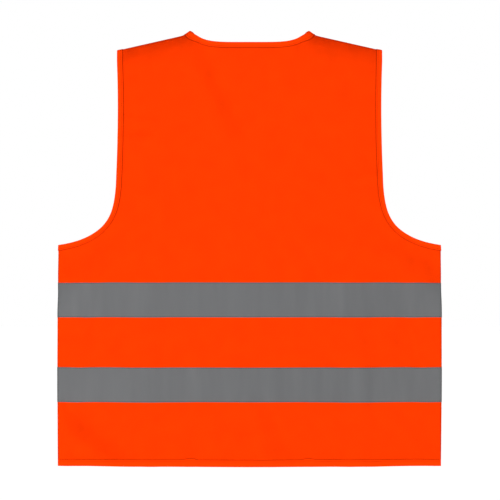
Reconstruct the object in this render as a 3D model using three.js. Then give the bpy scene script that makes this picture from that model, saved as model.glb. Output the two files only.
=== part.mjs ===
// High visibility vest: an orange knitted polyester waistcoat with two grey reflective tapes round the body.
// It hangs upright from its shoulders, as on a hanger. Its front closes with three touch-fastener patches.
//
// Millimetres, +Z up. The wearer faces +Y, so the back of the vest faces -Y and the wearer's left is -X.
// The origin lies between the two neck points, at the height of the shoulder line.
//
// Every piece is described on one flat pattern of the cloth and then bent onto the hanging shape:
//   across  distance from the middle of the vest, as x
//   down    distance along the cloth from the shoulder line, positive over the back, negative over the front
//   out     distance from the middle of the cloth's thickness, positive towards the outside of the vest

import * as THREE from 'three';

// ---- Driving dimensions ----

const CLOTH_THICKNESS = 1.0;
const HALF_CHEST = 275; // middle of the vest to a side seam
const HEM_Z = -624; // finished lower edge

// Shoulders: the line falls steeply beside the neck point, then evenly to the shoulder tip.
const NECK_POINT = 84.5;
const NECK_SLOPE_END = 99.4;
const NECK_SLOPE_DROP = 7.65;
const NECK_PEAK_RUN = 12.5; // inwards of the neck point, where the same surface levels out
const SHOULDER_TIP = 189.5;
const SHOULDER_SLOPE = 0.2257;
const SHOULDER_ROLL = 16; // radius of the cloth where it passes over the shoulder line

// Fullness: how far each half stands away from the plane of the side seams.
const BACK_LEAN = 0.055;
const FRONT_LEAN = 0.075;
const SIDE_SEAM_STANDOFF = 2.2;
const STANDOFF_RUN = 60; // cloth length over which the side stand-off grows from nothing at the shoulder

// Neck opening
const BACK_NECK_DEPTH = 29; // along the cloth
const BACK_NECK_POWER = 6;
const V_DEPTH = 310; // where the front edges become vertical
const V_POWER = 1.2;
const OVERLAP = 20; // each front passes the middle by this much
const OVERLAP_LIFT = 4.4; // the wearer's left front lies this far above the right one
const LIFT_END = 22;
const LIFT_MARGIN = 4;

// Armhole: nearly upright down to its corner, then rounded out to the side seam.
const ARMHOLE_WAIST = 186.5;
const ARMHOLE_WAIST_Z = -115;
const ARMHOLE_CORNER = 190.5;
const ARMHOLE_CORNER_Z = -205;
const ARMPIT_START = 192; // below the corner the line first follows this direction
const ARMPIT_START_Z = -255;
const ARMPIT_TURN = 197; // and comes to the side seam from this one
const ARMPIT_TURN_Z = -293;
const ARMPIT_Z = -304;

// Binding tape folded over the cut edges
const BINDING_WIDTH = 8;
const HEM_WIDTH = 10;
const BINDING_GAP = 0.4;
const BINDING_THICKNESS = 0.7;

// Reflective tapes
const TAPE_HEIGHT = 50;
const UPPER_TAPE_TOP = -358.5;
const LOWER_TAPE_TOP = -479.5;
const TAPE_THICKNESS = 0.6;

// Fold lines where the fronts swing open
const HINGE_TOP_Z = -68;
const HINGE_TOP_INSET = 10;
const HINGE_BOTTOM = 150;
const SHELF_GAP = 0.2;
const NECK_BINDING_CLEARANCE = 3; // the fixed neck binding ends this far above the swinging fronts

// Touch-fastener patches
const PATCH_WIDTH = 20;
const PATCH_HEIGHT = 50;
const PATCH_THICKNESS = 1.2;
const PATCH_TOPS = { upper: -304.5, middle: -419, lower: -547 };

const SEWN_GAP = 0.3; // between pieces that are sewn together
const CUT_GAP = 0.6; // between the two sides of a seam or fold line
const SEAM_ALLOWANCE = 10;
const SHOULDER_SEAM_GAP = 3; // between a shoulder seam's ends and the bindings
const SIDE_SEAM_GAP = 2; // between a side seam's ends and the bindings
const SIDE_SEAM_INSET = 1;

// Labels sewn to the inside of the back, as ranges across and in height
const SIZE_LABEL = { across: [-15, 15], heights: [-27, -52] };
const CARE_LABEL = { across: [-256, -224], heights: [-470, -530] };
const LABEL_THICKNESS = 0.4;

const CLOTH_FACE = CLOTH_THICKNESS / 2;
const ON_CLOTH = CLOTH_FACE + SEWN_GAP;
const BINDING_INNER = CLOTH_FACE + BINDING_GAP;
const BINDING_OUTER = BINDING_INNER + BINDING_THICKNESS;
const EDGE_INSET = BINDING_GAP + BINDING_THICKNESS;
const ROLL_LENGTH = (SHOULDER_ROLL * Math.PI) / 2;
const ROLL_STEPS = 6;

// Distances down the cloth of the rows that follow the shoulder roll.
const ROLL_LEVELS = Array.from({ length: ROLL_STEPS + 1 }, (_, i) => (ROLL_LENGTH * i) / ROLL_STEPS);

// ---- Materials ----

const MATERIALS = {
  cloth: { color: 0xff3f01, roughness: 0.85, metalness: 0 },
  binding: { color: 0xff4a08, roughness: 0.8, metalness: 0 },
  tape: { color: 0x737577, roughness: 0.45, metalness: 0.1 },
  hook: { color: 0xe8500a, roughness: 0.7, metalness: 0 },
  loop: { color: 0xf25a12, roughness: 0.95, metalness: 0 },
  label: { color: 0xf2f2ee, roughness: 0.6, metalness: 0 },
};

const vest = new THREE.Group();

// ---- The hanging shape ----

const { lerp, smoothstep } = THREE.MathUtils;

// Height of the shoulder line, level across the neck and falling towards the arms.
function ridgeHeight(across) {
  const x = Math.abs(across);
  const run = NECK_SLOPE_END - NECK_POINT;
  const beyond = NECK_SLOPE_END - x;
  if (beyond <= 0) return -NECK_SLOPE_DROP + SHOULDER_SLOPE * beyond;
  const change = (2 * (NECK_SLOPE_DROP - SHOULDER_SLOPE * run)) / run;
  if (beyond <= run) return -NECK_SLOPE_DROP + SHOULDER_SLOPE * beyond + (change * beyond ** 2) / (2 * run);
  const inside = Math.min(NECK_POINT - x, NECK_PEAK_RUN);
  return (SHOULDER_SLOPE + change) * (inside - inside ** 2 / (2 * NECK_PEAK_RUN));
}

// Drop below the shoulder line after a given length of cloth, and the reverse.
function dropOfLength(length) {
  if (length >= ROLL_LENGTH) return SHOULDER_ROLL + length - ROLL_LENGTH;
  return SHOULDER_ROLL * (1 - Math.cos(length / SHOULDER_ROLL));
}

function lengthOfDrop(drop) {
  if (drop >= SHOULDER_ROLL) return ROLL_LENGTH + drop - SHOULDER_ROLL;
  return SHOULDER_ROLL * Math.acos(1 - drop / SHOULDER_ROLL);
}

function lengthDownTo(across, z) {
  return lengthOfDrop(ridgeHeight(across) - z);
}

function heightOf(point) {
  return ridgeHeight(point.x) - dropOfLength(Math.abs(point.y));
}

// Middle of the cloth's thickness at a pattern point.
function clothMiddle(across, down) {
  const side = down < 0 ? 1 : -1;
  const length = Math.abs(down);
  const drop = dropOfLength(length);
  const roll = SHOULDER_ROLL * Math.sin(Math.min(length, ROLL_LENGTH) / SHOULDER_ROLL);
  const lean = (side > 0 ? FRONT_LEAN : BACK_LEAN) * drop;
  const toSeam = Math.abs(across) / HALF_CHEST;
  const standoff = SIDE_SEAM_STANDOFF * toSeam ** 4 * Math.min(length / STANDOFF_RUN, 1);
  const depth = (roll + lean) * (1 - toSeam ** 2) + standoff;
  return new THREE.Vector3(across, side * depth, ridgeHeight(across) - drop);
}

// Point at a distance out from the cloth's middle, along the cloth's own normal.
function onCloth(across, down, out) {
  const step = 0.05;
  const alongX = clothMiddle(across + step, down).sub(clothMiddle(across - step, down));
  const alongDown = clothMiddle(across, down + step).sub(clothMiddle(across, down - step));
  const normal = alongDown.cross(alongX).normalize();
  return clothMiddle(across, down).addScaledVector(normal, out);
}

// ---- Outlines on the pattern ----

// Fold line of a front, straight from below the neck to the hem, as a distance from the middle.
const HINGE_TOP = frontEdgeAt(lengthDownTo(0, HINGE_TOP_Z)) + HINGE_TOP_INSET;

function hingeAt(z) {
  return lerp(HINGE_TOP, HINGE_BOTTOM, (HINGE_TOP_Z - z) / (HINGE_TOP_Z - HEM_Z));
}

// Finished front edge after a length of cloth: a V that turns into a vertical edge past the middle.
// The distance is positive on the front's own side and negative once it has passed over the middle.
function frontEdgeAt(length) {
  const t = Math.min(length / lengthDownTo(0, -V_DEPTH), 1);
  return NECK_POINT - (NECK_POINT + OVERLAP) * (1 - (1 - t) ** V_POWER);
}

// Length down the back at which the neckline lies, grown outwards by a margin.
function backNeckline(across, margin) {
  const t = Math.abs(across) / (NECK_POINT + margin);
  return (BACK_NECK_DEPTH + margin) * Math.sqrt(Math.max(0, 1 - t ** BACK_NECK_POWER));
}

// Armhole from the shoulder tip down to the side seam: over the shoulder roll, then along its cut line.
function armholeOutline() {
  const path = new THREE.Path();
  path.moveTo(SHOULDER_TIP, ridgeHeight(SHOULDER_TIP) - SHOULDER_ROLL);
  path.quadraticCurveTo(ARMHOLE_WAIST, ARMHOLE_WAIST_Z, ARMHOLE_CORNER, ARMHOLE_CORNER_Z);
  path.bezierCurveTo(ARMPIT_START, ARMPIT_START_Z, ARMPIT_TURN, ARMPIT_TURN_Z, HALF_CHEST, ARMPIT_Z);
  const hanging = path.getPoints(6).slice(1);
  return ROLL_LEVELS.map((length) => new THREE.Vector2(SHOULDER_TIP, length))
    .concat(hanging.map((p) => new THREE.Vector2(p.x, lengthDownTo(p.x, p.y))));
}

// A line moved sideways on the pattern, to the left of its direction of travel, with mitred corners.
function offsetLine(points, distance) {
  return points.map((point, i) => {
    const before = points[Math.max(i - 1, 0)];
    const after = points[Math.min(i + 1, points.length - 1)];
    const into = point.clone().sub(before);
    const away = after.clone().sub(point);
    if (i === 0) into.copy(away);
    if (i === points.length - 1) away.copy(into);
    const normals = [into, away].map((v) => new THREE.Vector2(-v.y, v.x).normalize());
    const bisector = normals[0].add(normals[1]).normalize();
    return point.clone().addScaledVector(bisector, distance / bisector.dot(normals[1]));
  });
}

// ---- Solids ----

function addPiece(name, material, geometry) {
  const mesh = new THREE.Mesh(geometry, new THREE.MeshStandardMaterial(MATERIALS[material]));
  mesh.name = name;
  vest.add(mesh);
}

// A slab whose grid corners are placed one by one: place(column, row, face) gives the point, with face 1
// on the outside and 0 on the inside. Seen from the outside, columns run to the right and rows run down.
function slab(columns, rows, place) {
  const at = (column, row, face) => (face * (rows + 1) + row) * (columns + 1) + column;
  const positions = [];
  for (const face of [0, 1]) {
    for (let row = 0; row <= rows; row++) {
      for (let column = 0; column <= columns; column++) positions.push(...place(column, row, face));
    }
  }
  const triangles = [];
  const quad = (a, b, c, d) => triangles.push(a, b, c, a, c, d);
  for (let row = 0; row < rows; row++) {
    for (let column = 0; column < columns; column++) {
      const corners = [[column, row], [column, row + 1], [column + 1, row + 1], [column + 1, row]];
      const points = corners.map(([i, j]) => place(i, j, 1));
      const turned = points[1].distanceTo(points[3]) < points[0].distanceTo(points[2]);
      if (turned) corners.push(corners.shift());
      quad(...corners.map(([i, j]) => at(i, j, 1)));
      const [a, b, c, d] = corners.map(([i, j]) => at(i, j, 0));
      quad(a, d, c, b);
    }
  }
  for (let row = 0; row < rows; row++) {
    quad(at(0, row, 1), at(0, row, 0), at(0, row + 1, 0), at(0, row + 1, 1));
    quad(at(columns, row + 1, 1), at(columns, row + 1, 0), at(columns, row, 0), at(columns, row, 1));
  }
  for (let column = 0; column < columns; column++) {
    quad(at(column, rows, 1), at(column, rows, 0), at(column + 1, rows, 0), at(column + 1, rows, 1));
    quad(at(column + 1, 0, 1), at(column + 1, 0, 0), at(column, 0, 0), at(column, 0, 1));
  }
  const geometry = new THREE.BufferGeometry();
  geometry.setAttribute('position', new THREE.Float32BufferAttribute(positions, 3));
  geometry.setIndex(triangles);
  geometry.computeVertexNormals();
  return geometry;
}

// A sheet of cloth from a grid of pattern points. Rows run down from the top and columns towards +X over the
// back, so over the front, where the outside faces the other way, the columns are taken in reverse.
function sheet(grid, inner, outer, lift = () => 0) {
  const rows = grid.length - 1;
  const columns = grid[0].length - 1;
  const front = grid[rows][0].y < 0;
  return slab(columns, rows, (column, row, face) => {
    const point = grid[row][front ? columns - column : column];
    return onCloth(point.x, point.y, lift(point) + (face ? outer : inner));
  });
}

// A row of pattern points between two distances from the middle, at one height.
function levelRow(from, to, z, side, columns) {
  return Array.from({ length: columns + 1 }, (_, i) => {
    const across = lerp(from, to, i / columns);
    return new THREE.Vector2(across, side * lengthDownTo(across, z));
  });
}

// Binding folded round an edge: a U section that follows the edge, from its outer leg round to its inner leg.
function binding(edge, width, lift = () => 0) {
  const lines = [width, width / 2, 0, 0, width / 2, width];
  const outerLines = lines.map((distance) => offsetLine(edge, distance));
  const innerLines = lines.map((distance) => offsetLine(edge, Math.max(distance, BINDING_THICKNESS)));
  const turn = lines.length / 2;
  return slab(lines.length - 1, edge.length - 1, (column, row, face) => {
    const point = (face ? outerLines : innerLines)[column][row];
    const out = face ? BINDING_OUTER : BINDING_INNER;
    return onCloth(point.x, point.y, lift(point) + (column < turn ? out : -out));
  });
}

function reversed(points) {
  return points.slice().reverse();
}

function mirrored(points) {
  return points.map((p) => new THREE.Vector2(-p.x, p.y));
}

function toFront(points) {
  return points.map((p) => new THREE.Vector2(p.x, -p.y));
}

// The wearer's left front rises over the right one between its fold line and the middle.
function leftLift(point) {
  const start = -hingeAt(heightOf(point)) + LIFT_MARGIN;
  return OVERLAP_LIFT * smoothstep(point.x, start, -LIFT_END);
}

const FRONTS = {
  left: { sign: -1, lift: leftLift },
  right: { sign: 1, lift: () => 0 },
};

// ---- Shared rows ----

const ARMHOLE = armholeOutline();
const ARMHOLE_CUT = offsetLine(ARMHOLE, EDGE_INSET);
const SIDE_ROWS = 4;

// The rows of a panel from the shoulder line to the hem: down the armhole, then down the side seam.
// Each has the half width of the cloth and says how far down the pattern it lies at a distance across.
function panelRows() {
  const roll = ARMHOLE_CUT.slice(0, ROLL_STEPS + 1).map((p, i) => ({
    halfWidth: p.x,
    z: heightOf(p),
    downAt: () => (i ? p.y : CUT_GAP / 2),
  }));
  const armhole = ARMHOLE_CUT.slice(ROLL_STEPS + 1).map((p) => levelPanelRow(p.x, heightOf(p)));
  const armpit = armhole[armhole.length - 1];
  armpit.halfWidth = HALF_CHEST;
  const bottom = HEM_Z + EDGE_INSET;
  const side = Array.from({ length: SIDE_ROWS }, (_, i) =>
    levelPanelRow(HALF_CHEST, lerp(armpit.z, bottom, (i + 1) / SIDE_ROWS)));
  return roll.concat(armhole, side);
}

function levelPanelRow(halfWidth, z) {
  return { halfWidth, z, downAt: (across) => lengthDownTo(across, z) };
}

// ---- Back ----

// Distances across at which the back neckline has its points, closest round its corners.
const NECK_STATIONS = [0, 30, 52, 65, 73, 77.5, 80.5, 82.5, 83.7, 84.3, NECK_POINT];

function makeBack() {
  const rows = panelRows();
  const scale = (NECK_POINT + EDGE_INSET) / NECK_POINT;
  const shoulder = [90, 94.7, NECK_SLOPE_END, 120, 145, 168, ARMHOLE_CUT[0].x];
  const halfTop = NECK_STATIONS.map((x) => x * scale).concat(shoulder);
  const top = reversed(halfTop.slice(1)).map((x) => -x).concat(halfTop);
  const yokeEnd = ROLL_STEPS + 1;
  const first = CUT_GAP / 2;
  const grid = rows.map((row, k) =>
    top.map((x) => {
      const across = (x / ARMHOLE_CUT[0].x) * row.halfWidth;
      const down = row.downAt(across);
      if (k >= yokeEnd) return new THREE.Vector2(across, down);
      const neck = Math.max(first, backNeckline(x, EDGE_INSET));
      const end = rows[yokeEnd].downAt(across);
      return new THREE.Vector2(across, neck + ((down - first) * (end - neck)) / (end - first));
    }),
  );
  addPiece('back_panel', 'cloth', sheet(grid, -CLOTH_FACE, CLOTH_FACE));
}

// ---- Fronts ----

const SIDE_COLUMNS = [0, 0.2, 0.4, 0.6, 0.72, 0.8, 0.85, 0.89, 0.93, 0.965, 1]; // closest beside the neck
const FLAP_COLUMNS = [0, 0.1, 0.2, 0.3, 0.4, 0.5, 0.6, 0.7, 0.8, 0.9, 1];

function makeFront(name) {
  const { sign, lift } = FRONTS[name];
  const rows = panelRows();
  const edgeCut = (length) => frontEdgeAt(length) + EDGE_INSET;
  const edgeCutAt = (z) => edgeCut(lengthDownTo(0, z));
  const span = (columns, from, to, downAt) =>
    columns.map((t) => {
      const across = lerp(from, to, t);
      return new THREE.Vector2(sign * across, -downAt(across));
    });

  // The part that stays with the side: shoulder and yoke, then what lies outside the fold line.
  const yoke = rows
    .filter((row) => row.z > HINGE_TOP_Z)
    .map((row) => span(SIDE_COLUMNS, row.halfWidth, edgeCut(row.downAt(0)), row.downAt));
  const outside = rows
    .filter((row) => row.z < HINGE_TOP_Z)
    .map((row) => span(SIDE_COLUMNS, row.halfWidth, hingeAt(row.z) + CUT_GAP / 2, row.downAt));
  const tipWidth = ARMHOLE_CUT[ROLL_STEPS + 1].x;
  const lastYoke = levelPanelRow(tipWidth, HINGE_TOP_Z);
  const shelf = levelPanelRow(tipWidth, HINGE_TOP_Z - SHELF_GAP);
  yoke.push(span(SIDE_COLUMNS, tipWidth, edgeCutAt(lastYoke.z), lastYoke.downAt));
  yoke.push(span(SIDE_COLUMNS, tipWidth, hingeAt(shelf.z) + CUT_GAP / 2, shelf.downAt));
  const fixed = yoke.concat(outside);
  addPiece(`${name}_front_side_panel`, 'cloth', faced(fixed, sign, -CLOTH_FACE, CLOTH_FACE));

  // The part that swings: inside the fold line.
  const levels = frontEdgeLevels().concat(HEM_Z + EDGE_INSET);
  const flap = levels.map((z) => {
    const row = levelPanelRow(hingeAt(z) - CUT_GAP / 2, z);
    return span(FLAP_COLUMNS, row.halfWidth, edgeCutAt(z), row.downAt);
  });
  addPiece(`${name}_front_flap`, 'cloth', faced(flap, sign, -CLOTH_FACE, CLOTH_FACE, lift));
}

// A sheet of a front whose columns were given from the side seam towards the middle.
function faced(grid, sign, inner, outer, lift) {
  const ordered = sign < 0 ? grid : grid.map(reversed);
  return sheet(ordered, inner, outer, lift);
}

// Heights of the stations down the swinging part of a front edge.
function frontEdgeLevels() {
  const start = HINGE_TOP_Z - CUT_GAP;
  const slanted = Array.from({ length: 10 }, (_, i) => lerp(start, -V_DEPTH, i / 9));
  const upright = Array.from({ length: 4 }, (_, i) => lerp(-V_DEPTH, HEM_Z, (i + 1) / 5));
  return slanted.concat(upright);
}

// ---- Tapes ----

function tape(name, from, to, top, side, columns, lift) {
  const rows = [top, top - TAPE_HEIGHT].map((z) => levelRow(from(z), to(z), z, side, columns));
  const ordered = from(top) < to(top) ? rows : rows.map(reversed);
  addPiece(name, 'tape', sheet(ordered, ON_CLOTH, ON_CLOTH + TAPE_THICKNESS, lift));
}

function makeTapes() {
  const tops = { upper: UPPER_TAPE_TOP, lower: LOWER_TAPE_TOP };
  for (const [level, top] of Object.entries(tops)) {
    tape(`back_${level}_tape`, () => -HALF_CHEST, () => HALF_CHEST, top, 1, 24);
    for (const [name, { sign, lift }] of Object.entries(FRONTS)) {
      const fold = (z) => sign * hingeAt(z);
      const gap = (sign * CUT_GAP) / 2;
      const edge = -sign * (OVERLAP - BINDING_WIDTH - SEWN_GAP);
      tape(`${name}_${level}_side_tape`, () => sign * HALF_CHEST, (z) => fold(z) + gap, top, -1, 8);
      tape(`${name}_${level}_flap_tape`, (z) => fold(z) - gap, () => edge, top, -1, 8, lift);
    }
  }
}

// ---- Bindings ----

// Finished neckline from the left front, up over both shoulders and round the back, to the right front.
function neckEdge() {
  const end = lengthDownTo(0, HINGE_TOP_Z + NECK_BINDING_CLEARANCE);
  const lengths = ROLL_LEVELS.slice(1).concat((ROLL_LENGTH + end) / 2, end);
  const front = lengths.map((length) => new THREE.Vector2(-frontEdgeAt(length), -length));
  const back = NECK_STATIONS.map((x) => new THREE.Vector2(-x, backNeckline(x, 0)));
  const leftHalf = reversed(front).concat(reversed(back));
  return leftHalf.concat(reversed(mirrored(leftHalf)).slice(1));
}

// Finished armhole, all the way round from armpit to armpit.
function armholeEdge(sign) {
  const half = sign < 0 ? mirrored(ARMHOLE) : ARMHOLE;
  const loop = reversed(toFront(half)).concat(half.slice(1));
  return sign < 0 ? reversed(loop) : loop;
}

function makeBindings() {
  addPiece('neck_binding', 'binding', binding(neckEdge(), BINDING_WIDTH));
  for (const [name, { sign, lift }] of Object.entries(FRONTS)) {
    addPiece(`${name}_armhole_binding`, 'binding', binding(armholeEdge(sign), BINDING_WIDTH));
    const levels = frontEdgeLevels().concat(HEM_Z + HEM_WIDTH + SEWN_GAP);
    const edge = levels.map((z) => lengthDownTo(0, z)).map((length) =>
      new THREE.Vector2(sign * frontEdgeAt(length), -length));
    const ordered = sign < 0 ? reversed(edge) : edge;
    addPiece(`${name}_front_edge_binding`, 'binding', binding(ordered, BINDING_WIDTH, lift));
  }
}

// ---- Hems ----

function hem(name, from, to, side, columns, lift) {
  const edge = levelRow(from, to, HEM_Z, side, columns);
  addPiece(name, 'binding', binding(edge, HEM_WIDTH, lift));
}

function makeHems() {
  hem('back_hem_binding', HALF_CHEST, -HALF_CHEST, 1, 24);
  const fold = hingeAt(HEM_Z + HEM_WIDTH / 2);
  const gap = CUT_GAP / 2;
  hem('left_side_hem', -HALF_CHEST, -fold - gap, -1, 6);
  hem('left_flap_hem', -fold + gap, OVERLAP, -1, 10, leftLift);
  hem('right_side_hem', fold + gap, HALF_CHEST, -1, 6);
  hem('right_flap_hem', -OVERLAP, fold - gap, -1, 10);
}

// ---- Seams, fasteners and labels ----

// A flat rectangular piece sewn to the cloth between two distances from the middle and two heights.
function patch(name, material, [from, to], [top, bottom], side, [inner, outer], divisions, lift) {
  const [columns, rows] = divisions;
  const grid = Array.from({ length: rows + 1 }, (_, i) =>
    levelRow(from, to, lerp(top, bottom, i / rows), side, columns));
  addPiece(name, material, sheet(grid, inner, outer, lift));
}

function makeSeams() {
  for (const [name, { sign }] of Object.entries(FRONTS)) {
    const beside = BINDING_WIDTH + SHOULDER_SEAM_GAP;
    const ends = [NECK_POINT + beside, SHOULDER_TIP - beside].map((x) => sign * x);
    const [from, to] = ends.sort((a, b) => a - b);
    const width = SEAM_ALLOWANCE / 2;
    const grid = Array.from({ length: 5 }, (_, row) =>
      Array.from({ length: 7 }, (_, column) =>
        new THREE.Vector2(lerp(from, to, column / 6), lerp(-width, width, row / 4))));
    addPiece(`${name}_shoulder_seam`, 'cloth', sheet(grid, -ON_CLOTH - CLOTH_THICKNESS, -ON_CLOTH));

    const allowance = [HALF_CHEST - SEAM_ALLOWANCE, HALF_CHEST - SIDE_SEAM_INSET].map((x) => sign * x);
    const seam = allowance.sort((a, b) => a - b);
    const faces = [-ON_CLOTH - CLOTH_THICKNESS, -ON_CLOTH];
    const levels = [ARMPIT_Z - BINDING_WIDTH - SIDE_SEAM_GAP, HEM_Z + HEM_WIDTH + SIDE_SEAM_GAP];
    patch(`${name}_side_seam`, 'cloth', seam, levels, 1, faces, [1, 6]);
  }
}

function makeFasteners() {
  const width = [-PATCH_WIDTH / 2, PATCH_WIDTH / 2];
  for (const [name, top] of Object.entries(PATCH_TOPS)) {
    const levels = [top, top - PATCH_HEIGHT];
    const onInside = [-ON_CLOTH - PATCH_THICKNESS, -ON_CLOTH];
    const onOutside = [ON_CLOTH, ON_CLOTH + PATCH_THICKNESS];
    patch(`${name}_hook_patch`, 'hook', width, levels, -1, onInside, [2, 2], leftLift);
    patch(`${name}_loop_patch`, 'loop', width, levels, -1, onOutside, [2, 2]);
  }
}

function makeLabels() {
  const faces = [-ON_CLOTH - LABEL_THICKNESS, -ON_CLOTH];
  patch('size_label', 'label', SIZE_LABEL.across, SIZE_LABEL.heights, 1, faces, [2, 4]);
  patch('care_label', 'label', CARE_LABEL.across, CARE_LABEL.heights, 1, faces, [2, 2]);
}

makeBack();
makeFront('left');
makeFront('right');
makeTapes();
makeBindings();
makeHems();
makeSeams();
makeFasteners();
makeLabels();

export default vest;
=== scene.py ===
"""High visibility vest: the sewn cloth, tapes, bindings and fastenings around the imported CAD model.

Every piece is described on the flat pattern that the CAD model uses, and then bent onto the hanging shape:
    x    distance across from the middle of the vest
    s    distance along the cloth from the shoulder line, positive over the back, negative over the front
    out  distance outwards from the middle of the cloth's thickness
Metres throughout. The back faces -Y, and the wearer's left is -X.
"""

import math

import bpy
import numpy as np
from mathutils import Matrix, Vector


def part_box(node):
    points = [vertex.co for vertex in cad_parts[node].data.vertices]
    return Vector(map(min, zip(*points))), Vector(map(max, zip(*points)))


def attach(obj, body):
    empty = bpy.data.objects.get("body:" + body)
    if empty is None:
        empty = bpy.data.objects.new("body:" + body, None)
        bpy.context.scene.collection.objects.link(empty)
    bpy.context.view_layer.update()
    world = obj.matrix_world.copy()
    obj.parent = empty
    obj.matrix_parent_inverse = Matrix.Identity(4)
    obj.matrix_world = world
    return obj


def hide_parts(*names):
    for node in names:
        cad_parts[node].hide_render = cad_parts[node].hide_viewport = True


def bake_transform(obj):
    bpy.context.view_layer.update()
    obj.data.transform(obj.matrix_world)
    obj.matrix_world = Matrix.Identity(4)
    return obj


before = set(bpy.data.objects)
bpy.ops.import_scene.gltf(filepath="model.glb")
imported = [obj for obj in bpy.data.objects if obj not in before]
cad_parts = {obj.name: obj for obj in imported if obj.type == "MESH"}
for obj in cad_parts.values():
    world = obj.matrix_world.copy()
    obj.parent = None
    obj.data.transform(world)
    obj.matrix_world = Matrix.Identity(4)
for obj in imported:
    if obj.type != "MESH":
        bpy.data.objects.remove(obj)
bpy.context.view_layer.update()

# ---- Dimensions ----

HALF_CHEST = 0.275  # half the width below the arms
NECK_POINT = 0.0845  # where the shoulder line meets the neckline
NECK_SLOPE_END = 0.0994  # the shoulder line is straight from here outwards
NECK_SLOPE_DROP = 0.00765  # and lies this far below the neck point there
NECK_PEAK_RUN = 0.0125  # inside the neck point, over which the line levels off
SHOULDER_TIP = 0.1895
SHOULDER_SLOPE = 0.2257
SHOULDER_ROLL = 0.016  # radius of the turn from the back over to the front
ROLL_LENGTH = SHOULDER_ROLL * math.pi / 2

BACK_LEAN = 0.055  # how fast the middle of the back moves outwards on its way down
FRONT_LEAN = 0.075
SIDE_STANDOFF = 0.0012  # half the gap between back and front at the sides, before the sewing
STANDOFF_RUN = 0.06

BACK_NECK_DEPTH = 0.030
BACK_NECK_POWER = 5  # how square the back neckline is
NECK_DIP = 0.0018  # the fronts' edges are drawn down this much beside the neck point
V_DEPTH = 0.310
V_POWER = 1.2
OVERLAP = 0.020  # how far each front reaches past the middle
OVERLAP_LIFT = 0.0044  # how far the left front stands over the right one
LIFT_MARGIN = 0.004  # the lift starts this far from the fold line
LIFT_END = 0.022  # and is complete at this distance from the middle
HINGE_TOP_Z = -0.068
HINGE_TOP = 0.0677  # the fold line's distance from the middle at that height
HINGE_BOTTOM = 0.150  # and at the hem

HEM_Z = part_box("back_hem_binding")[0].z
HEM_LIFT = 0.0033
HEM_CORNER_RISE = 0.0017  # the hem hangs this much higher at the side seams
ARMPIT_Z = -0.304

CLOTH = 0.0006
TAPE = 0.0005
BINDING = 0.0006
BINDING_WIDTH = 0.008
HEM_WIDTH = 0.0102
EDGE_INSET = 0.0008  # from the fold of a binding to the cloth's edge
HEM_INSET = 0.0011
CLOTH_FACE = CLOTH / 2

STITCH = 0.0026
STITCH_GAP = 0.0007
STITCH_PITCH = STITCH + STITCH_GAP
CLOSE_PITCH = 0.0021  # of the close rows, along the side seams and round the bindings
THREAD = 0.00017  # radius of the sewing thread
TAPE_THREAD = 0.00024
# The edge and side rows are thick, so that their dark thread paints a visible line of shade.
EDGE_THREAD = 0.00034
SIDE_THREAD = 0.00042
TAPE_STITCH_INSET = 0.0012
SIDE_STITCH_INSET = 0.0009
ROW_END = 0.001  # a row along a tape stops this far from the side seam
ON_TOP = 0.0002  # how high a close row or a label lies over its cloth

PATCH = 0.0011  # thickness of a hook or loop strip
LABEL = 0.00035
TOUCH = 0.00002  # left between a binding and the cloth inside it
STEP = 0.0025  # mesh spacing of tapes, bindings and seam allowances
PANEL_STEP = 0.0035
NORMAL_STEP = 0.0008
START = 0.0001  # keeps a line's first point on its own side of the shoulder line

TAPE_EDGE = 0.0002  # the tapes are this much narrower at each edge than in the CAD model
TAPE_LEVELS = [
    (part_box(node)[0].z + TAPE_EDGE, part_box(node)[1].z - TAPE_EDGE)
    for node in ("back_upper_tape", "back_lower_tape")
]


# ---- Helpers ----

def quads(*corners):
    """Four-cornered faces, given the numbers of their first, second, third and fourth points."""
    return np.stack(corners, -1).reshape(-1, 4).tolist()


def smoothstep(t):
    """A smooth change from 0 to 1 while t goes from 0 to 1."""
    t = np.clip(t, 0, 1)
    return t * t * (3 - 2 * t)


# ---- The hanging shape ----

def ridge_height(x):
    """Height of the shoulder line."""
    x = np.abs(x)
    run = NECK_SLOPE_END - NECK_POINT
    change = 2 * (NECK_SLOPE_DROP - SHOULDER_SLOPE * run) / run
    beyond = NECK_SLOPE_END - x
    slope = -NECK_SLOPE_DROP + SHOULDER_SLOPE * beyond
    neck = slope + change * beyond**2 / (2 * run)
    inside = np.minimum(NECK_POINT - x, NECK_PEAK_RUN)
    peak = (SHOULDER_SLOPE + change) * (inside - inside**2 / (2 * NECK_PEAK_RUN))
    return np.where(beyond <= 0, slope, np.where(beyond <= run, neck, peak))


def drop_of_length(length):
    """How far below the shoulder line a point lies, that far along the cloth."""
    rolled = SHOULDER_ROLL * (1 - np.cos(np.minimum(length, ROLL_LENGTH) / SHOULDER_ROLL))
    return np.where(length >= ROLL_LENGTH, SHOULDER_ROLL + length - ROLL_LENGTH, rolled)


def length_of_drop(drop):
    """Length along the cloth to a point that far below the shoulder line."""
    rolled = SHOULDER_ROLL * np.arccos(1 - np.clip(drop / SHOULDER_ROLL, 0, 1))
    return np.where(drop >= SHOULDER_ROLL, ROLL_LENGTH + drop - SHOULDER_ROLL, rolled)


def length_down_to(x, z):
    """Length along the cloth from the shoulder line down to a height."""
    return length_of_drop(ridge_height(x) - z)


def height_of(x, s):
    """Height at which a point of the pattern hangs."""
    return ridge_height(x) - drop_of_length(np.abs(s))


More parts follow.
